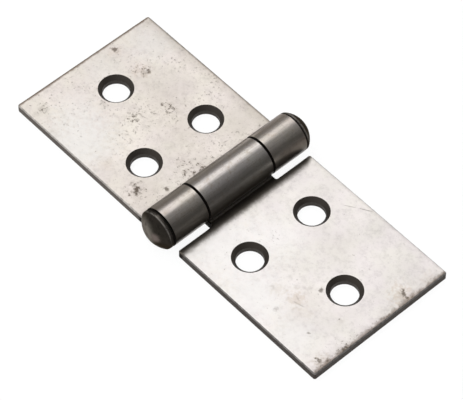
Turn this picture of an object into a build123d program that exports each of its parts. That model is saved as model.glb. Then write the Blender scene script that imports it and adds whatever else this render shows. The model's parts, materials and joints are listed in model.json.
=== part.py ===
# Plain steel back-flap hinge: two wide leaves with rolled knuckles on one headed pin, laid open flat.
# X runs across the open leaves, Y along the pin and Z up from the backs of the leaves.
# The origin is on the back plane, under the middle of the joint.

import os
from math import asin, degrees, radians, tan

from build123d import *

# Leaves
joint_length = 32.0  # along the pin
leaf_reach = 40.0  # from the pin's axis to the outer edge of a leaf
sheet = 1.8  # thickness of the steel
corner_radius = 0.4  # outer corners of a leaf, seen from above
shoulder_radius = 0.4  # corners beside the knuckles, seen from above
edge_break = 0.2  # bevel on the pressed edges

# Pin and knuckles
pin_diameter = 4.4
pin_clearance = 0.05  # between the pin and a knuckle, all round
centre_knuckle = 15.5  # length of the middle knuckle
knuckle_gap = 0.15  # between neighbouring knuckles
shoulder_gap = 0.55  # between a knuckle and the shoulder of the other leaf
seam_gap = 0.2  # between the rolled end of a knuckle and its own leaf

# Pin heads, one formed on the wire and one closed down once the wire is through
head_inset = 0.05  # how far the side of a head stands inside the outside of the knuckle
formed_head_height = 2.8  # from the knuckle to the top of the crown
formed_head_side = 0.95  # from the knuckle to where the crown would meet the side
closed_head_height = 2.5
closed_head_side = 0.4
head_shoulder_radius = 0.4  # between a crown and its side
head_edge_break = 0.2  # bevel where a head meets the knuckle

# Countersunk screw holes, three to a leaf
hole_diameter = 5.2
countersink_depth = 0.8
countersink_angle = 90.0
near_holes_from_shoulder = 9.6
near_holes_from_end = 8.5
far_hole_from_edge = 9.3

# Sizes that follow from those above
half_length = joint_length / 2
half_centre = centre_knuckle / 2
pin_radius = pin_diameter / 2
bore_radius = pin_radius + pin_clearance
knuckle_radius = bore_radius + sheet
pin_axis = Axis((0, 0, knuckle_radius), (0, 1, 0))
shoulder = knuckle_radius + shoulder_gap
seam_angle = degrees(asin((bore_radius - seam_gap) / knuckle_radius))
roll_angle = 270 + seam_angle
head_radius = knuckle_radius - head_inset
hole_radius = hole_diameter / 2
countersink_radius = hole_radius + countersink_depth * tan(radians(countersink_angle / 2))
near_holes_x = shoulder + near_holes_from_shoulder
near_holes_y = half_length - near_holes_from_end
far_hole_x = leaf_reach - far_hole_from_edge
hole_centres = [
    (near_holes_x, -near_holes_y, sheet),
    (near_holes_x, near_holes_y, sheet),
    (far_hole_x, 0, sheet),
]


def rolled_leaf(label, side, knuckle_spans):
    """One pressed leaf on the given side of the pin, with a knuckle rolled over each span along Y."""
    plan = Plane((0, 0, 0), x_dir=(side, 0, 0), z_dir=(0, 0, 1))
    section = Plane((0, 0, 0), x_dir=(side, 0, 0), z_dir=(0, -side, 0))

    with BuildPart(plan) as leaf:
        # Seen along the pin, the sheet runs in under the pin, round it and back down to its own leaf
        with BuildSketch(section):
            with BuildLine():
                back = Line((leaf_reach, 0), (0, 0))
                outside = CenterArc((0, knuckle_radius), knuckle_radius, 270, -roll_angle)
                inside = CenterArc((0, knuckle_radius), bore_radius, 270, -roll_angle)
                front = Line((0, sheet), (leaf_reach, sheet))
                Line(outside @ 1, inside @ 1)
                Line(front @ 1, back @ 0)
            make_face()
        extrude(amount=half_length, both=True)

        # Seen from above, the blank is the leaf with a tab for each knuckle
        with BuildSketch(plan) as blank:
            with Locations((shoulder, 0)):
                Rectangle(leaf_reach - shoulder, joint_length, align=(Align.MIN, Align.CENTER))
            for start, end in knuckle_spans:
                with Locations((shoulder, (start + end) / 2)):
                    Rectangle(shoulder + 2 * knuckle_radius, end - start, align=(Align.MAX, Align.CENTER))
            fillet(blank.vertices().group_by(Axis.X)[-1], corner_radius)
            fillet(blank.vertices().group_by(Axis.X)[1], shoulder_radius)
        extrude(amount=3 * knuckle_radius, both=True, mode=Mode.INTERSECT)

        # The pressed edges of the leaf and of the knuckles are broken
        end_walls = leaf.faces().filter_by(Axis.Y).edges()
        cross_walls = leaf.faces().filter_by(Axis.X).edges()
        rims = end_walls.filter_by(Axis.X) + end_walls.filter_by(GeomType.CIRCLE)
        rims += cross_walls.filter_by(Axis.Y)
        chamfer(rims, edge_break)

        # Two screw holes beside the knuckles and one further out, sunk from the front
        with Locations(*hole_centres):
            CounterSinkHole(hole_radius, countersink_radius, counter_sink_angle=countersink_angle)

    leaf.part.label = label
    return leaf


def domed_head(height, side):
    """Half the section of a pin head, which stands off its knuckle along X and turns about X."""
    crown_height = height - side
    crown_radius = (head_radius**2 + crown_height**2) / (2 * crown_height)
    crown_angle = degrees(asin(head_radius / crown_radius))

    with BuildSketch() as head:
        with BuildLine():
            crown = CenterArc((height - crown_radius, 0), crown_radius, 0, crown_angle)
            rim = Line(crown @ 1, (0, head_radius))
            under = Line(rim @ 1, (0, 0))
            Line(under @ 1, crown @ 0)
        make_face()
        fillet(head.vertices().sort_by_distance(crown @ 1)[0], head_shoulder_radius)
        chamfer(head.vertices().sort_by_distance(rim @ 1)[0], head_edge_break)
    return head.sketch


# Leaf that carries the pin in a knuckle at each end
outer_start = half_centre + knuckle_gap
outer_knuckle_leaf = rolled_leaf(
    "outer_knuckle_leaf", -1, [(-half_length, -outer_start), (outer_start, half_length)]
)

# Leaf that turns on the pin by its one middle knuckle
centre_knuckle_leaf = rolled_leaf("centre_knuckle_leaf", 1, [(-half_centre, half_centre)])

# Pin through all three knuckles, with a domed head outside each outer one
formed_head = domed_head(formed_head_height, formed_head_side)
closed_head = domed_head(closed_head_height, closed_head_side)
with BuildPart() as hinge_pin:
    with BuildSketch(Plane(pin_axis.position, x_dir=(0, 1, 0), z_dir=(1, 0, 0))):
        Rectangle(joint_length, pin_radius, align=(Align.CENTER, Align.MIN))
        with Locations((-half_length, 0)):
            add(mirror(formed_head, about=Plane.YZ, mode=Mode.PRIVATE))
        with Locations((half_length, 0)):
            add(closed_head)
    revolve(axis=pin_axis)
hinge_pin.part.label = "hinge_pin"

os.makedirs("parts", exist_ok=True)
export_step(outer_knuckle_leaf.part, "parts/outer_knuckle_leaf.step")
export_step(centre_knuckle_leaf.part, "parts/centre_knuckle_leaf.step")
export_step(hinge_pin.part, "parts/hinge_pin.step")
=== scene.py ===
# Looks of the plain steel back-flap hinge: two stained leaves and a dark headed pin on a light table.
import json
from math import cos, radians, sin

import bpy
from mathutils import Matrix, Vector


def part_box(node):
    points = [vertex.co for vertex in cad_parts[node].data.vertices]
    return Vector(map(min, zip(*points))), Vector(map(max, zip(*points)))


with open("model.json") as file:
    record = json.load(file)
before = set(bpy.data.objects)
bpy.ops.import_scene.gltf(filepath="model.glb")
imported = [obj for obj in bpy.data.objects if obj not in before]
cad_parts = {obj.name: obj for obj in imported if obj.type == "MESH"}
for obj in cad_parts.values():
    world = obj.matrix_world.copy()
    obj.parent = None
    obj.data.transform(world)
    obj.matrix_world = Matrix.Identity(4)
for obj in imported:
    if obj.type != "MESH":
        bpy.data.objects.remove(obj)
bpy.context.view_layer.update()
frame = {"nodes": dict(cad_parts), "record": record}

toMillimetres = 1000  # the shaders work in millimetres
noiseMiddle = 0.5  # mean level of Blender's noise

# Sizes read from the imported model, in millimetres
leafNode = frame["nodes"]["centre_knuckle_leaf"]
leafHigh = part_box("centre_knuckle_leaf")[1] * toMillimetres
leafReach = leafHigh.x
halfLength = leafHigh.y
knuckleRadius = leafHigh.z / 2
plateHeights = [v.co.z for v in leafNode.data.vertices if v.co.x * toMillimetres > leafReach / 2]
plateTop = max(plateHeights) * toMillimetres
bores = [mount for mount in frame["record"]["mounts"] if mount["kind"] == "bore"]
screwHoles = [Vector(bore["pos_m"]) * toMillimetres for bore in bores]
holeRadius = bores[0]["dims"]["r_mm"]
print("frame loaded:", sorted(frame["nodes"]))


# Small helpers for shader nodes

def isSocket(value):
    return isinstance(value, bpy.types.NodeSocket)


def feed(tree, socket, value):
    if isSocket(value):
        tree.links.new(value, socket)
    else:
        socket.default_value = value


def maths(tree, operation, first, second=0.0):
    node = tree.nodes.new("ShaderNodeMath")
    node.operation = operation
    feed(tree, node.inputs[0], first)
    feed(tree, node.inputs[1], second)
    return node.outputs[0]


def chain(tree, operation, values):
    result = values[0]
    for value in values[1:]:
        result = maths(tree, operation, result, value)
    return result


def plus(tree, *values):
    return chain(tree, "ADD", values)


def times(tree, *values):
    return chain(tree, "MULTIPLY", values)


def most(tree, *values):
    return chain(tree, "MAXIMUM", values)


def minus(tree, first, second):
    return maths(tree, "SUBTRACT", first, second)


def outside(tree, mask):
    return minus(tree, 1.0, mask)


def size(tree, value):
    return maths(tree, "ABSOLUTE", value)


def vectorMaths(tree, operation, first, second):
    node = tree.nodes.new("ShaderNodeVectorMath")
    node.operation = operation
    feed(tree, node.inputs[0], first)
    feed(tree, node.inputs["Scale" if operation == "SCALE" else 1], second)
    return node.outputs["Value" if operation == "DISTANCE" else "Vector"]


def split(tree, vector):
    node = tree.nodes.new("ShaderNodeSeparateXYZ")
    feed(tree, node.inputs[0], vector)
    return node.outputs


def fade(tree, value, start, end, low=0.0, high=1.0):  # smooth step from low at start to high at end
    node = tree.nodes.new("ShaderNodeMapRange")
    node.interpolation_type = "SMOOTHSTEP"
    for socket, given in zip(node.inputs, (value, start, end, low, high)):
        feed(tree, socket, given)
    return node.outputs[0]


def noise(tree, position, scale, detail, roughness):
    node = tree.nodes.new("ShaderNodeTexNoise")
    feed(tree, node.inputs["Vector"], position)
    feed(tree, node.inputs["Scale"], scale)
    feed(tree, node.inputs["Detail"], detail)
    feed(tree, node.inputs["Roughness"], roughness)
    return node.outputs["Fac"]


def blend(tree, share, first, second, way="MIX"):
    node = tree.nodes.new("ShaderNodeMix")
    node.data_type = "RGBA"
    node.blend_type = way
    feed(tree, node.inputs["Factor"], share)
    for socket, colour in (("A", first), ("B", second)):
        feed(tree, node.inputs[socket], colour if isSocket(colour) else (*colour, 1))
    return node.outputs["Result"]


def tint(tree, first, second):
    return blend(tree, 1.0, first, second, "MULTIPLY")


def startGroup(name, inputs, outputs):
    group = bpy.data.node_groups.new(name, "ShaderNodeTree")
    for label, kind in inputs:
        group.interface.new_socket(label, in_out="INPUT", socket_type="NodeSocket" + kind)
    for label, kind in outputs:
        group.interface.new_socket(label, in_out="OUTPUT", socket_type="NodeSocket" + kind)
    entry = group.nodes.new("NodeGroupInput").outputs
    result = group.nodes.new("NodeGroupOutput").inputs
    return group, entry, result


def place(tree, group, **values):  # puts a group in a material with its own values
    node = tree.nodes.new("ShaderNodeGroup")
    node.node_tree = group
    for label, value in values.items():
        feed(tree, node.inputs[label], value)
    return node.outputs


# Groups that the finishes share. A noise is given as scale, detail and roughness, and a fade as where it
# starts and ends, with its low and high level where these aren't 0 and 1.

mottleLook = {
    "patchNoise": (0.11, 1.0, 0.6),
    "grainNoise": (0.9, 4.0, 0.9),
    "hueNoise": (0.16, 3.0, 0.6),
    "hueShift": (31.0, 17.0, 5.0),  # keeps the hues apart from the patches
    "hues": [(0.38, (1.0, 0.99, 0.96)), (0.62, (1.0, 0.972, 0.982))],  # yellowish and pinkish steel
    "brightestGrain": 0.012,
}


def makeMottle():
    group, entry, result = startGroup(
        "mottle",
        [("Position", "Vector"), ("Patches", "Float"), ("Grains", "Float")],
        [("Tint", "Color"), ("Patch", "Float"), ("Grain", "Float")],
    )
    patch = noise(group, entry["Position"], *mottleLook["patchNoise"])
    grain = noise(group, entry["Position"], *mottleLook["grainNoise"])
    shifted = vectorMaths(group, "ADD", entry["Position"], mottleLook["hueShift"])
    hues = group.nodes.new("ShaderNodeValToRGB")
    for stop, (reading, hue) in zip(hues.color_ramp.elements, mottleLook["hues"]):
        stop.position = reading
        stop.color = (*hue, 1)
    feed(group, hues.inputs["Fac"], noise(group, shifted, *mottleLook["hueNoise"]))
    shade = times(group, minus(group, patch, noiseMiddle), entry["Patches"])
    grit = times(group, minus(group, grain, noiseMiddle), entry["Grains"])
    grit = maths(group, "MINIMUM", grit, mottleLook["brightestGrain"])
    level = plus(group, 1.0, plus(group, shade, grit))
    feed(group, result["Tint"], tint(group, hues.outputs["Color"], level))
    feed(group, result["Patch"], patch)
    feed(group, result["Grain"], grain)
    return group


speckLook = {
    "detail": 3.0,
    "roughness": 0.7,
    "limit": 0.72,  # level of the noise where specks start at no cover
    "coverGain": 0.22,  # how far full cover lowers that limit
    "edge": 0.16,
}


def makeSpecks():
    group, entry, result = startGroup(
        "specks",
        [("Position", "Vector"), ("Grain", "Float"), ("Cover", "Float")],
        [("Mask", "Float")],
    )
    scale = maths(group, "DIVIDE", 1.0, entry["Grain"])
    field = noise(group, entry["Position"], scale, speckLook["detail"], speckLook["roughness"])
    limit = minus(group, speckLook["limit"], times(group, entry["Cover"], speckLook["coverGain"]))
    feed(group, result["Mask"], fade(group, field, limit, plus(group, limit, speckLook["edge"])))
    return group


spotLook = {"tearNoise": (1.1, 3.0, 0.6), "tear": (0.3, 0.7, -1.0, 1.0), "edge": (1.0, 0.1)}


def makeSpot():
    group, entry, result = startGroup(
        "ragged spot",
        [("Position", "Vector"), ("Centre", "Vector"), ("Radius", "Float"), ("Ragged", "Float")],
        [("Mask", "Float")],
    )
    away = vectorMaths(group, "DISTANCE", entry["Position"], entry["Centre"])
    away = maths(group, "DIVIDE", away, entry["Radius"])
    torn = fade(group, noise(group, entry["Position"], *spotLook["tearNoise"]), *spotLook["tear"])
    torn = times(group, torn, entry["Ragged"])
    feed(group, result["Mask"], fade(group, plus(group, away, torn), *spotLook["edge"]))
    return group


scratchLook = {
    "skipNoise": (1.1, 3.0, 0.6),
    "skips": (0.25, 0.5),
    "fullLength": 0.4,  # shares of the half length and half width at full strength
    "fullWidth": 0.2,
    "offLevel": (0.4, 0.2),  # millimetres above or below the front of the leaf
}


def makeScratch():
    group, entry, result = startGroup(
        "scratch",
        [
            ("Position", "Vector"), ("Middle", "Vector"),
            ("Angle", "Float"), ("Length", "Float"), ("Width", "Float"),
        ],
        [("Mask", "Float")],
    )
    turn = group.nodes.new("ShaderNodeVectorRotate")
    turn.rotation_type = "Z_AXIS"
    feed(group, turn.inputs["Vector"], vectorMaths(group, "SUBTRACT", entry["Position"], entry["Middle"]))
    feed(group, turn.inputs["Angle"], times(group, entry["Angle"], -1.0))
    local = split(group, turn.outputs["Vector"])
    half = times(group, entry["Length"], 0.5)
    along = fade(group, size(group, local[0]), half, times(group, half, scratchLook["fullLength"]))
    core = times(group, entry["Width"], scratchLook["fullWidth"])
    side = fade(group, size(group, local[1]), entry["Width"], core)
    level = fade(group, size(group, local[2]), *scratchLook["offLevel"])
    skips = fade(group, noise(group, entry["Position"], *scratchLook["skipNoise"]), *scratchLook["skips"])
    feed(group, result["Mask"], times(group, along, side, level, skips))
    return group


# The band mask below serves edge stains, the specks along the end, and the painted shade beside the barrel
dirtAndShadeBandLook = {"tearNoise": (0.7, 5.0, 0.7), "tear": (0.3, 0.7)}


def makeDirtAndShadeBand():
    group, entry, result = startGroup(
        "grime",
        [
            ("Position", "Vector"), ("Away", "Float"),
            ("Reach", "Float"), ("Solid", "Float"), ("Ragged", "Float"),
        ],
        [("Mask", "Float")],
    )
    torn = fade(group, noise(group, entry["Position"], *dirtAndShadeBandLook["tearNoise"]), *dirtAndShadeBandLook["tear"])
    kept = outside(group, times(group, entry["Ragged"], torn))
    reach = times(group, entry["Reach"], kept)
    feed(group, result["Mask"], fade(group, entry["Away"], reach, times(group, reach, entry["Solid"])))
    return group


lineLook = {"stretch": (1.0, 0.05, 1.0), "detail": 3.0, "roughness": 0.6}


def makeDrawnLines():
    group, entry, result = startGroup(
        "drawn lines",
        [("Position", "Vector"), ("Fineness", "Float")],
        [("Lines", "Float")],
    )
    stretched = vectorMaths(group, "MULTIPLY", entry["Position"], lineLook["stretch"])
    lines = noise(group, stretched, entry["Fineness"], lineLook["detail"], lineLook["roughness"])
    feed(group, result["Lines"], lines)
    return group


mottle = makeMottle()
specks = makeSpecks()
spot = makeSpot()
scratch = makeScratch()
grime = makeDirtAndShadeBand()
drawnLines = makeDrawnLines()
print("shader groups made:", len(bpy.data.node_groups))


def startSteel(name):
    material = bpy.data.materials.new(name)
    material.use_nodes = True
    tree = material.node_tree
    where = tree.nodes.new("ShaderNodeTexCoord").outputs["Object"]
    position = vectorMaths(tree, "SCALE", where, toMillimetres)
    return material, tree, tree.nodes["Principled BSDF"], position


def relieve(tree, steel, height, depth):  # depth in metres
    bump = tree.nodes.new("ShaderNodeBump")
    bump.inputs["Distance"].default_value = depth
    feed(tree, bump.inputs["Height"], height)
    feed(tree, steel.inputs["Normal"], bump.outputs["Normal"])


# Steel of the two leaves. The lists of marks are in millimetres. Clusters have their middle along X and Y and
# a radius. Dark spots, oil film, bare patches and smears have the same and a strength.

outerLeafFinish = {
    "name": "outer leaf steel",
    "steel": (0.748, 0.71, 0.67),
    "filmColour": (0.6, 0.55, 0.49),
    "bareColour": (0.81, 0.795, 0.775),
    "cutColour": (0.1, 0.082, 0.068),
    "roughness": 0.29,
    "patches": 0.34,
    "grains": 0.7,
    "speckCover": 0.61,
    "speckPatches": 1.0,
    "barrelSpecks": 0.25,  # more of them beside the barrel
    "endSpecks": 0.0,  # and along the end of the leaf
    # strength of the painted shade on the leaf beside the barrel
    "cornerGrime": 0.35,
    "bevelWear": {"near": 0.6, "end": 0.08, "far": 0.04},
    "rust": 0.9,  # on the far knuckle
    # edge, reach, solid share of it, raggedness, strength
    "edgeStains": [
        ("end", 0.95, 0.3, 0.3, 0.9), ("far", 0.95, 0.2, 0.3, 0.62), ("far", 3.4, 0.0, 0.3, 0.2),
    ],
    "speckClusters": [
        (-37.9, 5.9, 1.1), (-30.6, 6.9, 1.9), (-10.6, -12.5, 2.3), (-7.2, -2.8, 1.8), (-6.9, -0.4, 1.6),
        (-9.6, -2.6, 2.0), (-20.8, 4.2, 1.8), (-23.6, -1.9, 2.0), (-29.4, -3.9, 1.5), (-36.3, -13.2, 1.5),
    ],
    "darkSpots": [
        (-37.9, 5.9, 0.7, 0.7), (-30.1, 7.2, 0.8, 0.7), (-10.4, -12.6, 1.15, 0.9),
        (-7.1, -8.4, 0.7, 0.7), (-22.2, 3.7, 0.5, 0.7),
    ],
    "oilFilm": [
        (-8.0, -12.0, 7.0, 0.5), (-7.5, 0.0, 7.0, 0.3), (-8.5, 11.0, 8.0, 0.35),
        (-15.0, 3.5, 7.0, 0.4), (-22.0, 4.5, 7.0, 0.35), (-30.0, 4.5, 5.0, 0.2),
    ],
    "barePatches": [
        (-25.5, -13.0, 10.0, 0.8), (-31.5, -9.0, 7.0, 0.4), (-34.5, 12.0, 7.0, 0.45), (-35.5, 1.0, 6.0, 0.3),
    ],
    "smears": [(-18.5, -12.8, 2.0, 0.25), (-30.9, 6.4, 2.4, 0.25), (-37.6, 5.6, 1.8, 0.25)],
    "scratches": [],
}
centreLeafFinish = {
    "name": "centre leaf steel",
    "steel": (0.79, 0.766, 0.752),
    "filmColour": (0.7, 0.655, 0.62),
    "bareColour": (0.84, 0.828, 0.82),
    "cutColour": (0.034, 0.023, 0.0155),
    "roughness": 0.29,
    "patches": 0.3,
    "grains": 0.66,
    "speckCover": 0.36,
    "speckPatches": 0.8,
    "barrelSpecks": 0.0,
    "endSpecks": 0.8,
    # strength of the painted shade on the leaf beside the barrel
    "cornerGrime": 0.95,
    "bevelWear": {"near": 0.27, "end": 0.27, "far": 0.6},
    "rust": 0.0,
    "edgeStains": [
        ("end", 1.9, 0.0, 0.7, 0.75), ("end", 3.4, 0.0, 0.6, 0.16), ("far", 0.9, 0.2, 0.3, 0.16),
    ],
    "speckClusters": [
        (38.1, 7.2, 1.5), (38.4, -13.4, 1.6), (27.7, -3.0, 0.8), (39.3, -8.4, 1.6), (35.0, -5.1, 0.9),
    ],
    "darkSpots": [
        (38.0, 7.3, 0.8, 0.7), (27.8, -3.0, 0.6, 0.6), (38.4, -13.4, 0.8, 0.5), (33.0, -10.9, 0.4, 0.7),
        (25.6, -11.6, 0.6, 0.3), (26.0, -4.8, 1.1, 0.1), (21.6, -8.9, 0.6, 0.12), (24.4, -5.6, 0.7, 0.1),
    ],
    "oilFilm": [
        (15.5, 5.5, 5.0, 0.2), (23.5, 5.5, 5.5, 0.25), (28.0, -6.0, 5.0, 0.4), (33.5, -3.5, 4.5, 0.2),
    ],
    "barePatches": [
        (10.0, -9.5, 11.0, 0.7), (21.0, -12.5, 9.0, 0.75), (14.0, -1.0, 8.0, 0.5), (32.0, -13.5, 6.0, 0.5),
    ],
    "smears": [
        (26.2, -7.6, 2.2, 0.36), (22.6, -8.6, 2.0, 0.2), (29.2, -9.0, 2.4, 0.12), (38.6, 12.5, 2.0, 0.15),
        (38.2, 6.9, 3.0, 0.4), (39.0, -13.4, 2.3, 0.3),
    ],
    # middle along X and Y, angle in degrees, length, half width, strength
    "scratches": [
        (20.4, 14.8, 31, 3.4, 0.16, 0.45), (18.0, 13.3, 33, 3.0, 0.1, 0.45),
        (27.4, -8.0, 14, 2.8, 0.22, 0.24), (26.3, -7.3, -20, 1.6, 0.2, 0.2),
    ],
}
leafMarks = {
    "speckColour": (0.14, 0.109, 0.08),
    "speckGrain": 0.5,
    "speckStrength": (0.0, 0.5, 0.55, 0.85),  # stronger in the clusters
    "clusterCover": 0.5,
    "clusterStain": 0.2,
    "barrelReach": (6.0, 0.5),  # of the specks beside the barrel
    "endBand": {"Reach": 2.6, "Solid": 0.0, "Ragged": 0.8},  # of the specks along the end
    "spotRagged": 0.5,  # also of clusters and smears
    "filmRagged": 0.2,  # also of bare patches
    "stainColour": (0.185, 0.128, 0.088),
    "smearColour": (0.58, 0.475, 0.375),
    "holeColour": (0.05, 0.041, 0.033),
    "wornPatches": (0.38, 0.58, 0.6, 1.2),  # of the bevels, by the grain
    # painted shade beside and under the barrel
    "grimeColour": (0.11, 0.095, 0.076),
    # darker painted shade in the crevices beside the barrel and on the knuckle ends
    "creviceColour": (0.02, 0.017, 0.014),
    # reach and shape of the painted shade beside the barrel
    "cornerReach": 2.45,
    "cornerBand": {"Solid": 0.3, "Ragged": 0.2},
    "cornerTaper": 2.0,  # length at the far end over which the reach halves
    "cornerShare": (0.5, 1.0),
    # painted shade on the lower half of the knuckles
    "overhangGrime": 0.9,
    "grainLevels": (0.3, 0.7),  # of the grain, where the steel is roughest and smoothest
    "grainRoughness": (0.05, -0.015),
    "dullMarks": 0.7,
    "dullStain": 0.5,
    "dullRust": 0.7,
    "dullMetallic": 0.5,
    "dullRoughness": 0.25,
    "creviceRoughness": 0.55,
    "grainRelief": 0.4,
    "lineRelief": 1.5,
    "reliefDepth": 0.000005,
}
knuckleMarks = {
    "tone": (0.92, 0.915, 0.905),
    "lineColour": (0.3, 0.27, 0.24),
    "lineFineness": 4.0,
    "lines": (0.4, 0.75, 0.0, 0.3),
    "brownColour": (0.47, 0.365, 0.265),  # brown tint in the grain, and brown tint with painted shade on the side towards -X
    "brownGrain": (0.52, 0.32, 0.0, 0.42),
    "brownFrom": (-0.1, -0.45),
    "brownUntil": (-0.88, -0.6),
    "brownSide": 0.46,
    "oilColour": (0.215, 0.185, 0.14),  # oily tint with painted shade, on the side towards +X
    "oilSide": (0.3, 0.75, 0.0, 0.45),
    "rustColour": (0.115, 0.085, 0.07),
    "rustSpan": (8.0, 5.5),  # from the far end
    "rustLow": (0.72, 0.45),
    "rustSide": (-0.3, -0.58, 0.0, 0.85),
    "rustThin": (0.42, 0.62, 0.0, 0.3),  # elsewhere, by the grain
    "rustPatches": (0.42, 0.6, 0.75, 1.0),
}
# Where the parts of a leaf start and end: margins in millimetres, fades by how far the surface faces an axis
leafParts = {
    "knuckleMargin": 0.4,
    "barrelMargin": 0.5,
    "clearMargin": 0.2,
    "holeMargins": (1.4, 1.1),
    "flat": (0.8, 0.95),
    "endWall": (0.2, 0.5),
    "upward": (0.3, 0.6),
    "overhang": (0.84, 0.0),
    "aboveBack": (-0.98, -0.8),
    "bevelTop": (0.35, 0.6),
    "bevelSide": (0.3, 0.6),
}


def spotOn(tree, position, spotX, spotY, radius, ragged):  # a spot on the front of a leaf
    centre = (spotX, spotY, plateTop)
    return place(tree, spot, Position=position, Centre=centre, Radius=radius, Ragged=ragged)["Mask"]


def findParts(tree, position, facing):  # masks of the parts of a leaf, and distances along it
    x, y = split(tree, position)[:2]
    across = size(tree, x)
    knuckle = fade(tree, across, knuckleRadius + leafParts["knuckleMargin"], knuckleRadius)
    plate = outside(tree, knuckle)
    endWall = fade(tree, size(tree, facing[1]), *leafParts["endWall"])
    knuckleEnd = times(tree, knuckle, endWall)

    # What the press cut: sheared edges, bevels, knuckle ends and screw holes
    flat = fade(tree, size(tree, facing[2]), *leafParts["flat"])
    cut = most(tree, times(tree, outside(tree, flat), plate), knuckleEnd)
    onPlan = vectorMaths(tree, "MULTIPLY", position, (1, 1, 0))
    fromHole = leafReach
    for hole in screwHoles:
        away = vectorMaths(tree, "DISTANCE", onPlan, (hole.x, hole.y, 0))
        fromHole = maths(tree, "MINIMUM", away, fromHole)
    nearHole = fade(tree, fromHole, *[holeRadius + margin for margin in leafParts["holeMargins"]])
    return {
        "y": y,
        "knuckle": knuckle,
        "plate": plate,
        "endWall": endWall,
        "knuckleEnd": knuckleEnd,
        "cut": cut,
        "inHole": times(tree, cut, nearHole),
        "clearOfBarrel": fade(tree, across, knuckleRadius - leafParts["clearMargin"], knuckleRadius),
        "aboveBack": fade(tree, facing[2], *leafParts["aboveBack"]),
        "fromBarrel": minus(tree, across, knuckleRadius + leafParts["barrelMargin"]),
        "fromEdge": {"end": minus(tree, leafReach, across), "far": minus(tree, halfLength, y)},
    }


def wornBevels(tree, finish, parts, facing, grain):
    wear = finish["bevelWear"]
    far = fade(tree, facing[1], *leafParts["bevelSide"])
    near = fade(tree, times(tree, facing[1], -1.0), *leafParts["bevelSide"])
    end = fade(tree, size(tree, facing[0]), *leafParts["bevelSide"])
    worn = most(
        tree, times(tree, near, wear["near"]), times(tree, far, wear["far"]), times(tree, end, wear["end"]),
    )
    worn = times(tree, worn, parts["plate"], fade(tree, facing[2], *leafParts["bevelTop"]))
    return times(tree, worn, fade(tree, grain, *leafMarks["wornPatches"]))


def findClusters(tree, finish, position):
    cluster = 0.0
    for spotX, spotY, radius in finish["speckClusters"]:
        patch = spotOn(tree, position, spotX, spotY, radius, leafMarks["spotRagged"])
        cluster = most(tree, times(tree, patch, leafMarks["clusterCover"]), cluster)
    return cluster


def darkMarks(tree, finish, position, parts, patch, cluster):  # specks, single spots and scratches
    beside = fade(tree, parts["fromBarrel"], *leafMarks["barrelReach"])
    uneven = minus(tree, patch, noiseMiddle)
    fromEnd = parts["fromEdge"]["end"]
    endBand = place(tree, grime, Position=position, Away=fromEnd, **leafMarks["endBand"])["Mask"]
    cover = plus(
        tree,
        cluster,
        times(tree, beside, finish["barrelSpecks"]),
        times(tree, uneven, finish["speckPatches"]),
        finish["speckCover"],
        times(tree, endBand, finish["endSpecks"]),
    )
    marks = place(tree, specks, Position=position, Grain=leafMarks["speckGrain"], Cover=cover)["Mask"]
    marks = times(tree, marks, fade(tree, cluster, *leafMarks["speckStrength"]))
    for spotX, spotY, radius, strength in finish["darkSpots"]:
        single = spotOn(tree, position, spotX, spotY, radius, leafMarks["spotRagged"])
        marks = most(tree, marks, times(tree, single, strength))
    for lineX, lineY, angle, length, width, strength in finish["scratches"]:
        line = place(
            tree, scratch, Position=position, Middle=(lineX, lineY, plateTop),
            Angle=radians(angle), Length=length, Width=width,
        )
        marks = most(tree, marks, times(tree, line["Mask"], strength))
    return times(tree, marks, parts["plate"])


def brownStain(tree, finish, position, parts, cluster):  # along the edges and faintly round the clusters
    stain = times(tree, cluster, leafMarks["clusterStain"])
    for edge, reach, solid, ragged, strength in finish["edgeStains"]:
        away = parts["fromEdge"][edge]
        band = place(tree, grime, Position=position, Away=away, Reach=reach, Solid=solid, Ragged=ragged)
        stain = most(tree, stain, times(tree, band["Mask"], strength))
    return times(tree, stain, parts["plate"])


def shadeByBarrel(tree, finish, position, parts, facing):  # painted shade beside the barrel, under the knuckles, in the crevices and on the knuckle ends; the second mask is the crevices and knuckle ends alone
    taperFrom = halfLength - leafMarks["cornerTaper"]
    taper = fade(tree, parts["y"], halfLength, taperFrom, *leafMarks["cornerShare"])
    reach = times(tree, taper, leafMarks["cornerReach"])
    corner = place(
        tree, grime, Position=position, Away=parts["fromBarrel"], Reach=reach, **leafMarks["cornerBand"],
    )["Mask"]
    upward = fade(tree, facing[2], *leafParts["upward"])
    walls = most(tree, parts["plate"], parts["endWall"])
    # painted shade on the walls in the crevice beside the barrel and on the knuckle ends
    crevice = times(tree, corner, walls, outside(tree, upward))
    creviceShade = most(tree, crevice, parts["knuckleEnd"])
    # painted shade on the upward faces beside the barrel
    corner = times(tree, corner, parts["clearOfBarrel"], upward, finish["cornerGrime"])
    # painted shade on the knuckle faces that look sideways and down
    overhang = fade(tree, facing[2], *leafParts["overhang"])
    overhang = times(tree, parts["knuckle"], overhang, parts["aboveBack"])
    return most(tree, corner, creviceShade, times(tree, overhang, leafMarks["overhangGrime"])), creviceShade


def knuckleRust(tree, finish, parts, facing, grain):  # on the far knuckle, mostly low and towards -X
    start, full = [halfLength - away for away in knuckleMarks["rustSpan"]]
    sides = most(
        tree,
        fade(tree, facing[2], *knuckleMarks["rustLow"]),
        fade(tree, facing[0], *knuckleMarks["rustSide"]),
        fade(tree, grain, *knuckleMarks["rustThin"]),
    )
    patches = fade(tree, grain, *knuckleMarks["rustPatches"])
    farKnuckle = times(tree, parts["knuckle"], fade(tree, parts["y"], start, full))
    return times(tree, farKnuckle, sides, parts["aboveBack"], patches, finish["rust"])


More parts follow.
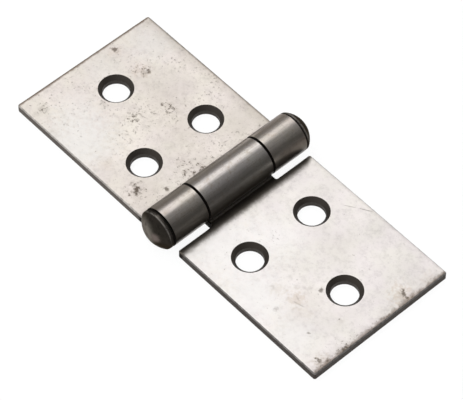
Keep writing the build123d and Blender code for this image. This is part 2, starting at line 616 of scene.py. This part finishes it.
def sheetColour(tree, finish, position, bare):
    colour = bare
    films = [
        (finish["oilFilm"], finish["filmColour"], leafMarks["filmRagged"]),
        (finish["barePatches"], finish["bareColour"], leafMarks["filmRagged"]),
        (finish["smears"], leafMarks["smearColour"], leafMarks["spotRagged"]),
    ]
    for patches, tone, ragged in films:
        for spotX, spotY, radius, strength in patches:
            patch = spotOn(tree, position, spotX, spotY, radius, ragged)
            colour = blend(tree, times(tree, patch, strength), colour, tone)
    return colour


def rolledColour(tree, bare, lines, rust, facing, grain):
    colour = blend(tree, fade(tree, lines, *knuckleMarks["lines"]), bare, knuckleMarks["lineColour"])
    colour = tint(tree, colour, knuckleMarks["tone"])
    brownAndShade = fade(tree, grain, *knuckleMarks["brownGrain"])
    colour = blend(tree, brownAndShade, colour, knuckleMarks["brownColour"])
    # oily tint with painted shade on the side towards +X
    oilAndShade = fade(tree, facing[0], *knuckleMarks["oilSide"])
    colour = blend(tree, oilAndShade, colour, knuckleMarks["oilColour"])
    # brown tint with painted shade on the side towards -X
    brownFrom = fade(tree, facing[0], *knuckleMarks["brownFrom"])
    brownUntil = fade(tree, facing[0], *knuckleMarks["brownUntil"])
    brownAndShade = times(tree, brownFrom, brownUntil, knuckleMarks["brownSide"])
    colour = blend(tree, brownAndShade, colour, knuckleMarks["brownColour"])
    return blend(tree, rust, colour, knuckleMarks["rustColour"])


def leafSteel(finish):
    material, tree, steel, position = startSteel(finish["name"])
    facing = split(tree, tree.nodes.new("ShaderNodeTexCoord").outputs["Normal"])
    mottled = place(tree, mottle, Position=position, Patches=finish["patches"], Grains=finish["grains"])
    grain = mottled["Grain"]
    lines = place(tree, drawnLines, Position=position, Fineness=knuckleMarks["lineFineness"])["Lines"]
    parts = findParts(tree, position, facing)
    cluster = findClusters(tree, finish, position)
    marks = darkMarks(tree, finish, position, parts, mottled["Patch"], cluster)
    stain = brownStain(tree, finish, position, parts, cluster)
    paintedShade, creviceShade = shadeByBarrel(tree, finish, position, parts, facing)
    rust = knuckleRust(tree, finish, parts, facing, grain)

    # Colour, from the bare sheet outward
    bare = tint(tree, mottled["Tint"], finish["steel"])
    rolled = rolledColour(tree, bare, lines, rust, facing, grain)
    colour = blend(tree, parts["knuckle"], sheetColour(tree, finish, position, bare), rolled)
    colour = blend(tree, stain, colour, leafMarks["stainColour"])
    colour = blend(tree, marks, colour, leafMarks["speckColour"])
    cutColour = tint(tree, mottled["Tint"], finish["cutColour"])
    cutColour = blend(tree, wornBevels(tree, finish, parts, facing, grain), cutColour, finish["steel"])
    colour = blend(tree, parts["cut"], colour, cutColour)
    colour = blend(tree, parts["inHole"], colour, leafMarks["holeColour"])
    # painted shade beside and under the barrel
    colour = blend(tree, paintedShade, colour, leafMarks["grimeColour"])
    # darker painted shade in the crevices and on the knuckle ends
    colour = blend(tree, creviceShade, colour, leafMarks["creviceColour"])
    feed(tree, steel.inputs["Base Color"], colour)

    # Less metallic where it is marked or cut, rougher there and in the crevices
    dull = most(
        tree,
        times(tree, marks, leafMarks["dullMarks"]),
        times(tree, stain, leafMarks["dullStain"]),
        times(tree, rust, leafMarks["dullRust"]),
        parts["cut"],
    )
    dull = times(tree, dull, outside(tree, paintedShade))
    feed(tree, steel.inputs["Metallic"], fade(tree, dull, 0.0, 1.0, 1.0, leafMarks["dullMetallic"]))
    roughest, smoothest = [finish["roughness"] + change for change in leafMarks["grainRoughness"]]
    sheen = fade(tree, grain, *leafMarks["grainLevels"], roughest, smoothest)
    rougher = most(
        tree, times(tree, dull, leafMarks["dullRoughness"]), times(tree, creviceShade, leafMarks["creviceRoughness"]),
    )
    feed(tree, steel.inputs["Roughness"], plus(tree, sheen, rougher))

    # Fine grain on the sheet, sunk specks, drawn lines along the knuckle
    relief = minus(tree, times(tree, grain, parts["plate"], leafMarks["grainRelief"]), marks)
    relief = plus(tree, relief, times(tree, lines, parts["knuckle"], leafMarks["lineRelief"]))
    relieve(tree, steel, relief, leafMarks["reliefDepth"])
    return material


# Steel of the pin, in millimetres

pinFinish = {
    "name": "pin steel",
    "darkSteel": (0.03, 0.0265, 0.0225),
    # lit copy of the dark steel, painted low towards -X
    "lightSteel": (0.205, 0.19, 0.169),
    "edgeTint": (0.47, 0.45, 0.425),
    "roughness": 0.36,
    "patches": 0.5,
    "grains": 1.2,
    "grainLevels": (0.3, 0.7),  # of the grain, where the steel is roughest and smoothest
    "grainRoughness": (0.08, -0.04),
    "speckGrain": 1.1,
    "speckCover": 0.95,
    "thinCentre": (-1.3, 0, 3.5),  # middle of the painted light, seen along the pin
    "thinReach": (3.5, 1.6),
    "thinWander": (0.3, 0.7, -0.4, 0.4),
    "barePatches": (0.3, 0.55),  # breaks up the bare places, by the grain
    "collar": (0.11, 0.098, 0.085),
    "collarStart": (0.25, 0.5),  # from the knuckle
    "collarFade": 0.2,
    "soot": (0.014, 0.0125, 0.011),
    "sootSpecks": 0.6,
    "sootBelow": (1.6, 0.5, 0.0, 0.8),  # painted shade low on each head, by height above the back of the leaves
    "worn": (0.19, 0.155, 0.142),
    "wornCentre": (1.35, 0, 4.6),  # a bare patch beside the tip of each head, seen along the pin
    "wornReach": (1.4, 0.35),
    "wornStrength": 0.8,
    "rimWear": (0.34, 0.315, 0.29),
    "formedRim": 0.85,  # worn bare line round the upper edge of each crown, painted as a highlight, so far from the knuckle
    "closedRim": 0.33,
    "rimWidth": 0.24,
    # keeps the painted highlight to the upper part of each crown
    "rimHeights": (4.4, 7.0, 0.1, 1.0),
    "rimStrength": 0.8,
    "grainRelief": 0.6,
    "reliefDepth": 0.00003,
}


def pinSteel(finish):
    material, tree, steel, position = startSteel(finish["name"])
    y, z = split(tree, position)[1:]
    mottled = place(tree, mottle, Position=position, Patches=finish["patches"], Grains=finish["grains"])
    grain = mottled["Grain"]
    dark = place(
        tree, specks, Position=position, Grain=finish["speckGrain"], Cover=finish["speckCover"],
    )["Mask"]
    patches = fade(tree, grain, *finish["barePatches"])
    fromKnuckle = minus(tree, size(tree, y), halfLength)
    alongPin = vectorMaths(tree, "MULTIPLY", position, (1, 0, 1))

    # Painted light: each head is lighter low down towards -X, blended from the dark steel to a lit copy of it
    fromLitSide = vectorMaths(tree, "DISTANCE", alongPin, finish["thinCentre"])
    fromLitSide = plus(tree, fromLitSide, fade(tree, mottled["Patch"], *finish["thinWander"]))
    litSide = fade(tree, fromLitSide, *finish["thinReach"])
    colour = tint(tree, mottled["Tint"], blend(tree, litSide, finish["darkSteel"], finish["lightSteel"]))

    # The dark steel is partly worn from the collar and from a patch on each crown, and the upper edge of each
    # crown has a worn bare line painted as a highlight
    fromWorn = vectorMaths(tree, "DISTANCE", alongPin, finish["wornCentre"])
    worn = times(tree, fade(tree, fromWorn, *finish["wornReach"]), patches)
    rimAt = fade(tree, y, -1.0, 1.0, finish["formedRim"], finish["closedRim"])  # by the end it is at
    fromRim = size(tree, minus(tree, fromKnuckle, rimAt))
    rimHighlight = times(
        tree, fade(tree, fromRim, finish["rimWidth"], 0.0), patches, fade(tree, z, *finish["rimHeights"]),
    )
    collarStart = fade(tree, fromKnuckle, *finish["collarStart"])
    collarEnd = fade(tree, fromKnuckle, rimAt, minus(tree, rimAt, finish["collarFade"]))
    collar = times(tree, collarStart, collarEnd, patches)
    # soot specks, and painted shade low on each head
    soot = most(tree, times(tree, dark, finish["sootSpecks"]), fade(tree, z, *finish["sootBelow"]))
    colour = blend(tree, collar, colour, finish["collar"])
    colour = blend(tree, soot, colour, finish["soot"])
    colour = blend(tree, times(tree, worn, finish["wornStrength"]), colour, finish["worn"])
    colour = blend(tree, times(tree, rimHighlight, finish["rimStrength"]), colour, finish["rimWear"])
    feed(tree, steel.inputs["Base Color"], colour)
    steel.inputs["Metallic"].default_value = 1.0
    steel.inputs["Specular Tint"].default_value = (*finish["edgeTint"], 1)
    roughest, smoothest = [finish["roughness"] + change for change in finish["grainRoughness"]]
    feed(tree, steel.inputs["Roughness"], fade(tree, grain, *finish["grainLevels"], roughest, smoothest))
    relief = minus(tree, times(tree, grain, finish["grainRelief"]), dark)
    relieve(tree, steel, relief, finish["reliefDepth"])
    return material


def dress(node, material):
    mesh = frame["nodes"][node].data
    mesh.materials.clear()
    mesh.materials.append(material)


dress("outer_knuckle_leaf", leafSteel(outerLeafFinish))
dress("centre_knuckle_leaf", leafSteel(centreLeafFinish))
dress("hinge_pin", pinSteel(pinFinish))
print("steel finished")


# Light table: a white floor that shows the light under it and still takes a shadow

table = {
    "size": 12.0,
    "below": 0.00002,  # under the backs of the leaves
    "white": 0.9,
    "glow": 0.82,  # share of the light under it that shows
}


def makeTable():
    half = table["size"] / 2
    corners = [(-half, -half, 0), (half, -half, 0), (half, half, 0), (-half, half, 0)]
    mesh = bpy.data.meshes.new("light table")
    mesh.from_pydata(corners, [], [(0, 1, 2, 3)])
    floor = bpy.data.objects.new("light_table", mesh)
    floor.location.z = -table["below"]
    bpy.context.scene.collection.objects.link(floor)
    material = bpy.data.materials.new("light table")
    material.use_nodes = True
    tree = material.node_tree
    tree.nodes.clear()
    rays = tree.nodes.new("ShaderNodeLightPath").outputs
    seen = most(tree, rays["Is Camera Ray"], rays["Is Glossy Ray"], rays["Is Transmission Ray"])
    sheet = tree.nodes.new("ShaderNodeBsdfDiffuse")
    sheet.inputs["Color"].default_value = (table["white"], table["white"], table["white"], 1)
    through = tree.nodes.new("ShaderNodeBsdfTransparent")
    either = tree.nodes.new("ShaderNodeMixShader")
    feed(tree, either.inputs["Fac"], times(tree, seen, table["glow"]))
    feed(tree, either.inputs[1], sheet.outputs[0])
    feed(tree, either.inputs[2], through.outputs[0])
    feed(tree, tree.nodes.new("ShaderNodeOutputMaterial").inputs["Surface"], either.outputs[0])
    mesh.materials.append(material)


makeTable()
print("table laid")


# Studio: one softbox mirrored by the leaves, and a room that is darker where the barrel looks

studio = {
    "keyTowards": (-0.435, 0.31, 0.845),
    "keyDistance": 0.9,
    "keySize": 0.52,
    "keyRadiance": 0.904,
    "keyColour": (1.0, 0.988, 0.975),
    "wattsPerRadiance": 4,  # for each square metre of an area lamp
    "overheadLevel": 0.168,
    "darkLevel": 0.03,  # overhead at the right
    "overheadTurn": (0.9, 0.1),  # along X
    "leftFill": 0.9,
    "rightFill": 0.58,
    "fillTurn": (0.8, -0.8),  # along X
    "nearFill": (0.18, -0.12),  # along Y
    "farFill": (0.54, 0.7),
    "underLevel": 1.12,
    "nearClear": (0.28, 0.12),  # along Y, clear of the band that the barrel mirrors
    "farClear": (0.5, 0.65),
    "underFull": (-0.18, -0.06),  # height where the light from below is full, in that band and clear of it
    "underEnd": (-0.03, -0.01),  # height where it has ended
}


def makeStudio():
    lamp = bpy.data.lights.new("key softbox", "AREA")
    lamp.shape = "SQUARE"
    lamp.size = studio["keySize"]
    lamp.energy = studio["wattsPerRadiance"] * studio["keyRadiance"] * studio["keySize"] ** 2
    lamp.color = studio["keyColour"]
    key = bpy.data.objects.new("key softbox", lamp)
    towards = Vector(studio["keyTowards"]).normalized()
    key.location = towards * studio["keyDistance"]
    key.rotation_euler = towards.to_track_quat("Z", "Y").to_euler()
    bpy.context.scene.collection.objects.link(key)

    world = bpy.data.worlds.new("studio")
    world.use_nodes = True
    bpy.context.scene.world = world
    tree = world.node_tree
    x, y, z = split(tree, tree.nodes.new("ShaderNodeTexCoord").outputs["Generated"])
    overhead = fade(tree, x, *studio["overheadTurn"], studio["darkLevel"], studio["overheadLevel"])
    aside = plus(tree, fade(tree, y, *studio["nearFill"]), fade(tree, y, *studio["farFill"]))
    fill = times(tree, aside, fade(tree, x, *studio["fillTurn"], studio["rightFill"], studio["leftFill"]))
    clear = plus(tree, fade(tree, y, *studio["nearClear"]), fade(tree, y, *studio["farClear"]))
    underFull = fade(tree, clear, 0.0, 1.0, *studio["underFull"])
    underEnd = fade(tree, clear, 0.0, 1.0, *studio["underEnd"])
    level = fade(tree, z, underFull, underEnd, studio["underLevel"], plus(tree, overhead, fill))
    feed(tree, tree.nodes["Background"].inputs["Color"], level)


makeStudio()
print("studio lit")


# Camera at the photograph's viewing angle

shot = {
    "azimuth": 47.786,
    "elevation": 53.334,
    "distance": 0.51111,
    "target": (0.001683, -0.000554, 0.0),
    "lens": 220.4,
    "sensor": 36.0,
}


def makeCamera():
    turn = radians(shot["azimuth"])
    lift = radians(shot["elevation"])
    back = Vector((sin(turn) * cos(lift), -cos(turn) * cos(lift), sin(lift)))
    data = bpy.data.cameras.new("camera")
    data.sensor_fit = "HORIZONTAL"
    data.sensor_width = shot["sensor"]
    data.lens = shot["lens"]
    camera = bpy.data.objects.new("camera", data)
    camera.location = Vector(shot["target"]) + back * shot["distance"]
    camera.rotation_euler = back.to_track_quat("Z", "Y").to_euler()
    bpy.context.scene.collection.objects.link(camera)
    bpy.context.scene.camera = camera
    bpy.context.scene.view_settings.view_transform = "Standard"


makeCamera()
print("camera set")
